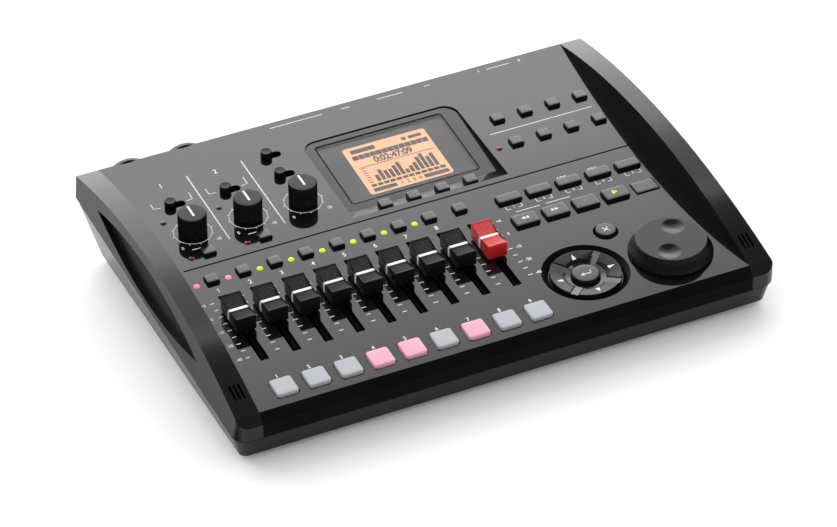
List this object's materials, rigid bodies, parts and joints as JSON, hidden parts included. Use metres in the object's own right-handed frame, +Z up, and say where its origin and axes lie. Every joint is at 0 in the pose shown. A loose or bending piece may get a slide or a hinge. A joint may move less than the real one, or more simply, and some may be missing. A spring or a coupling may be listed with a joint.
{
  "type": "multitrack recorder",
  "caption": "Desktop audio recorder: a sloping panel with sliding faders, pads, knobs, keys, a cursor ring, a jog dial and a lit display between arched end cheeks.",
  "frame": {"origin": "on the floor under the middle of the overall box", "axes": "+X to the user's right, +Y from the user to the rear sockets, +Z up"},
  "size_m": [0.257, 0.19, 0.0509],
  "materials": {
    "panel_plastic": "semi-gloss black moulded plastic",
    "base_plastic": "satin black moulded plastic",
    "cheek_plastic": "semi-gloss black moulded plastic",
    "smoked_window": "smoked clear plastic, polished",
    "display": "amber backlit display panel",
    "board": "green solder mask",
    "steel": "plated steel",
    "switch_plastic": "moulded plastic",
    "jack_plastic": "black moulded plastic",
    "lamp_lens": "tinted lamp lens",
    "rubber": "black rubber",
    "cap_plastic": "satin black plastic",
    "red_cap": "satin red plastic",
    "pad_grey": "pale translucent silicone rubber",
    "pad_pink": "lit translucent silicone rubber",
    "key_plastic": "satin black plastic",
    "dial_plastic": "satin black plastic"
  },
  "bodies": {
    "case": {"top_case": "panel_plastic", "bottom_case": "base_plastic", "left_cheek": "cheek_plastic", "right_cheek": "cheek_plastic", "display_window": "smoked_window", "display_module": "display", "control_board": "board", "main_board": "board", "fader_tracks": "steel", "rotary_bodies": "steel", "switch_bodies": "switch_plastic", "input_jacks": "jack_plastic", "rear_sockets": "jack_plastic", "status_lamps": "lamp_lens", "mic_capsules": "steel", "rubber_feet": "rubber", "case_screws": "steel"},
    "fader_cap_1_body": {"fader_cap_1": "cap_plastic"},
    "fader_cap_2_body": {"fader_cap_2": "cap_plastic"},
    "fader_cap_3_body": {"fader_cap_3": "cap_plastic"},
    "fader_cap_4_body": {"fader_cap_4": "cap_plastic"},
    "fader_cap_5_body": {"fader_cap_5": "cap_plastic"},
    "fader_cap_6_body": {"fader_cap_6": "cap_plastic"},
    "fader_cap_7_body": {"fader_cap_7": "cap_plastic"},
    "fader_cap_8_body": {"fader_cap_8": "cap_plastic"},
    "master_fader_body": {"master_fader": "red_cap"},
    "pad_1_body": {"pad_1": "pad_grey"},
    "pad_2_body": {"pad_2": "pad_grey"},
    "pad_3_body": {"pad_3": "pad_grey"},
    "pad_4_body": {"pad_4": "pad_pink"},
    "pad_5_body": {"pad_5": "pad_pink"},
    "pad_6_body": {"pad_6": "pad_grey"},
    "pad_7_body": {"pad_7": "pad_pink"},
    "pad_8_body": {"pad_8": "pad_grey"},
    "pad_9_body": {"pad_9": "pad_grey"},
    "gain_knob_1_body": {"gain_knob_1": "cap_plastic"},
    "gain_knob_2_body": {"gain_knob_2": "cap_plastic"},
    "mix_knob_body": {"mix_knob": "cap_plastic"},
    "jog_dial_body": {"jog_dial": "dial_plastic"},
    "slide_switch_1_body": {"slide_switch_1": "cap_plastic"},
    "slide_switch_2_body": {"slide_switch_2": "cap_plastic"},
    "slide_switch_3_body": {"slide_switch_3": "cap_plastic"},
    "slide_switch_4_body": {"slide_switch_4": "cap_plastic"},
    "cursor_right_body": {"cursor_right": "key_plastic"},
    "cursor_up_body": {"cursor_up": "key_plastic"},
    "cursor_left_body": {"cursor_left": "key_plastic"},
    "cursor_down_body": {"cursor_down": "key_plastic"},
    "enter_key_body": {"enter_key": "key_plastic"},
    "exit_key_body": {"exit_key": "key_plastic"},
    "rewind_key_body": {"rewind_key": "key_plastic"},
    "forward_key_body": {"forward_key": "key_plastic"},
    "stop_key_body": {"stop_key": "key_plastic"},
    "play_key_body": {"play_key": "key_plastic"},
    "record_key_body": {"record_key": "key_plastic"},
    "marker_keys_body": {"marker_keys": "key_plastic"},
    "function_keys_body": {"function_keys": "key_plastic"},
    "soft_keys_body": {"soft_keys": "key_plastic"},
    "track_keys_body": {"track_keys": "key_plastic"},
    "input_keys_body": {"input_keys": "key_plastic"},
    "power_switch_body": {"power_switch": "cap_plastic"}
  },
  "joints": [
    {"name": "fader_cap_1_slide", "type": "slide", "parent": "case", "child": "fader_cap_1_body", "axis": [0, 0.9925, 0.1219], "range_m": [-0.0266, 0.0164]},
    {"name": "fader_cap_2_slide", "type": "slide", "parent": "case", "child": "fader_cap_2_body", "axis": [0, 0.9925, 0.1219], "range_m": [-0.0266, 0.0164]},
    {"name": "fader_cap_3_slide", "type": "slide", "parent": "case", "child": "fader_cap_3_body", "axis": [0, 0.9925, 0.1219], "range_m": [-0.0266, 0.0164]},
    {"name": "fader_cap_4_slide", "type": "slide", "parent": "case", "child": "fader_cap_4_body", "axis": [0, 0.9925, 0.1219], "range_m": [-0.0266, 0.0164]},
    {"name": "fader_cap_5_slide", "type": "slide", "parent": "case", "child": "fader_cap_5_body", "axis": [0, 0.9925, 0.1219], "range_m": [-0.0266, 0.0164]},
    {"name": "fader_cap_6_slide", "type": "slide", "parent": "case", "child": "fader_cap_6_body", "axis": [0, 0.9925, 0.1219], "range_m": [-0.0266, 0.0164]},
    {"name": "fader_cap_7_slide", "type": "slide", "parent": "case", "child": "fader_cap_7_body", "axis": [0, 0.9925, 0.1219], "range_m": [-0.0266, 0.0164]},
    {"name": "fader_cap_8_slide", "type": "slide", "parent": "case", "child": "fader_cap_8_body", "axis": [0, 0.9925, 0.1219], "range_m": [-0.0266, 0.0164]},
    {"name": "master_fader_slide", "type": "slide", "parent": "case", "child": "master_fader_body", "axis": [0, 0.9925, 0.1219], "range_m": [-0.0266, 0.0164]},
    {"name": "pad_1_slide", "type": "slide", "parent": "case", "child": "pad_1_body", "axis": [0, -0.1219, 0.9925], "range_m": [-0.0008, 0], "stiffness_N_per_m": 250},
    {"name": "pad_2_slide", "type": "slide", "parent": "case", "child": "pad_2_body", "axis": [0, -0.1219, 0.9925], "range_m": [-0.0008, 0], "stiffness_N_per_m": 250},
    {"name": "pad_3_slide", "type": "slide", "parent": "case", "child": "pad_3_body", "axis": [0, -0.1219, 0.9925], "range_m": [-0.0008, 0], "stiffness_N_per_m": 250},
    {"name": "pad_4_slide", "type": "slide", "parent": "case", "child": "pad_4_body", "axis": [0, -0.1219, 0.9925], "range_m": [-0.0008, 0], "stiffness_N_per_m": 250},
    {"name": "pad_5_slide", "type": "slide", "parent": "case", "child": "pad_5_body", "axis": [0, -0.1219, 0.9925], "range_m": [-0.0008, 0], "stiffness_N_per_m": 250},
    {"name": "pad_6_slide", "type": "slide", "parent": "case", "child": "pad_6_body", "axis": [0, -0.1219, 0.9925], "range_m": [-0.0008, 0], "stiffness_N_per_m": 250},
    {"name": "pad_7_slide", "type": "slide", "parent": "case", "child": "pad_7_body", "axis": [0, -0.1219, 0.9925], "range_m": [-0.0008, 0], "stiffness_N_per_m": 250},
    {"name": "pad_8_slide", "type": "slide", "parent": "case", "child": "pad_8_body", "axis": [0, -0.1219, 0.9925], "range_m": [-0.0008, 0], "stiffness_N_per_m": 250},
    {"name": "pad_9_slide", "type": "slide", "parent": "case", "child": "pad_9_body", "axis": [0, -0.1219, 0.9925], "range_m": [-0.0008, 0], "stiffness_N_per_m": 250},
    {"name": "gain_knob_1_turn", "type": "hinge", "parent": "case", "child": "gain_knob_1_body", "pos_m": [-0.095, 0.03295, 0.03944], "axis": [0, -0.1219, 0.9925], "range_deg": [-150, 150]},
    {"name": "gain_knob_2_turn", "type": "hinge", "parent": "case", "child": "gain_knob_2_body", "pos_m": [-0.0684, 0.03295, 0.03944], "axis": [0, -0.1219, 0.9925], "range_deg": [-150, 150]},
    {"name": "mix_knob_turn", "type": "hinge", "parent": "case", "child": "mix_knob_body", "pos_m": [-0.0418, 0.03295, 0.03944], "axis": [0, -0.1219, 0.9925], "range_deg": [-150, 150]},
    {"name": "jog_dial_turn", "type": "hinge", "parent": "case", "child": "jog_dial_body", "pos_m": [0.0899, -0.06799, 0.02705], "axis": [0, -0.1219, 0.9925], "continuous": true},
    {"name": "slide_switch_1_slide", "type": "slide", "parent": "case", "child": "slide_switch_1_body", "axis": [1, 0, 0], "range_m": [0, 0.005]},
    {"name": "slide_switch_2_slide", "type": "slide", "parent": "case", "child": "slide_switch_2_body", "axis": [1, 0, 0], "range_m": [0, 0.005]},
    {"name": "slide_switch_3_slide", "type": "slide", "parent": "case", "child": "slide_switch_3_body", "axis": [1, 0, 0], "range_m": [0, 0.005]},
    {"name": "slide_switch_4_slide", "type": "slide", "parent": "case", "child": "slide_switch_4_body", "axis": [1, 0, 0], "range_m": [0, 0.005]},
    {"name": "cursor_right_slide", "type": "slide", "parent": "case", "child": "cursor_right_body", "axis": [0, -0.1219, 0.9925], "range_m": [-0.0008, 0], "stiffness_N_per_m": 250},
    {"name": "cursor_up_slide", "type": "slide", "parent": "case", "child": "cursor_up_body", "axis": [0, -0.1219, 0.9925], "range_m": [-0.0008, 0], "stiffness_N_per_m": 250},
    {"name": "cursor_left_slide", "type": "slide", "parent": "case", "child": "cursor_left_body", "axis": [0, -0.1219, 0.9925], "range_m": [-0.0008, 0], "stiffness_N_per_m": 250},
    {"name": "cursor_down_slide", "type": "slide", "parent": "case", "child": "cursor_down_body", "axis": [0, -0.1219, 0.9925], "range_m": [-0.0008, 0], "stiffness_N_per_m": 250},
    {"name": "enter_key_slide", "type": "slide", "parent": "case", "child": "enter_key_body", "axis": [0, -0.1219, 0.9925], "range_m": [-0.0008, 0], "stiffness_N_per_m": 250},
    {"name": "exit_key_slide", "type": "slide", "parent": "case", "child": "exit_key_body", "axis": [0, -0.1219, 0.9925], "range_m": [-0.0008, 0], "stiffness_N_per_m": 250},
    {"name": "rewind_key_slide", "type": "slide", "parent": "case", "child": "rewind_key_body", "axis": [0, -0.1219, 0.9925], "range_m": [-0.0008, 0], "stiffness_N_per_m": 250},
    {"name": "forward_key_slide", "type": "slide", "parent": "case", "child": "forward_key_body", "axis": [0, -0.1219, 0.9925], "range_m": [-0.0008, 0], "stiffness_N_per_m": 250},
    {"name": "stop_key_slide", "type": "slide", "parent": "case", "child": "stop_key_body", "axis": [0, -0.1219, 0.9925], "range_m": [-0.0008, 0], "stiffness_N_per_m": 250},
    {"name": "play_key_slide", "type": "slide", "parent": "case", "child": "play_key_body", "axis": [0, -0.1219, 0.9925], "range_m": [-0.0008, 0], "stiffness_N_per_m": 250},
    {"name": "record_key_slide", "type": "slide", "parent": "case", "child": "record_key_body", "axis": [0, -0.1219, 0.9925], "range_m": [-0.0008, 0], "stiffness_N_per_m": 250},
    {"name": "marker_keys_slide", "type": "slide", "parent": "case", "child": "marker_keys_body", "axis": [0, -0.1219, 0.9925], "range_m": [-0.0008, 0], "stiffness_N_per_m": 250},
    {"name": "function_keys_slide", "type": "slide", "parent": "case", "child": "function_keys_body", "axis": [0, -0.1219, 0.9925], "range_m": [-0.0008, 0], "stiffness_N_per_m": 250},
    {"name": "soft_keys_slide", "type": "slide", "parent": "case", "child": "soft_keys_body", "axis": [0, -0.1219, 0.9925], "range_m": [-0.0008, 0], "stiffness_N_per_m": 250},
    {"name": "track_keys_slide", "type": "slide", "parent": "case", "child": "track_keys_body", "axis": [0, -0.1219, 0.9925], "range_m": [-0.0008, 0], "stiffness_N_per_m": 250},
    {"name": "input_keys_slide", "type": "slide", "parent": "case", "child": "input_keys_body", "axis": [0, -0.1219, 0.9925], "range_m": [-0.0008, 0], "stiffness_N_per_m": 250},
    {"name": "power_switch_slide", "type": "slide", "parent": "case", "child": "power_switch_body", "axis": [1, 0, 0], "range_m": [0, 0.004]}
  ]
}
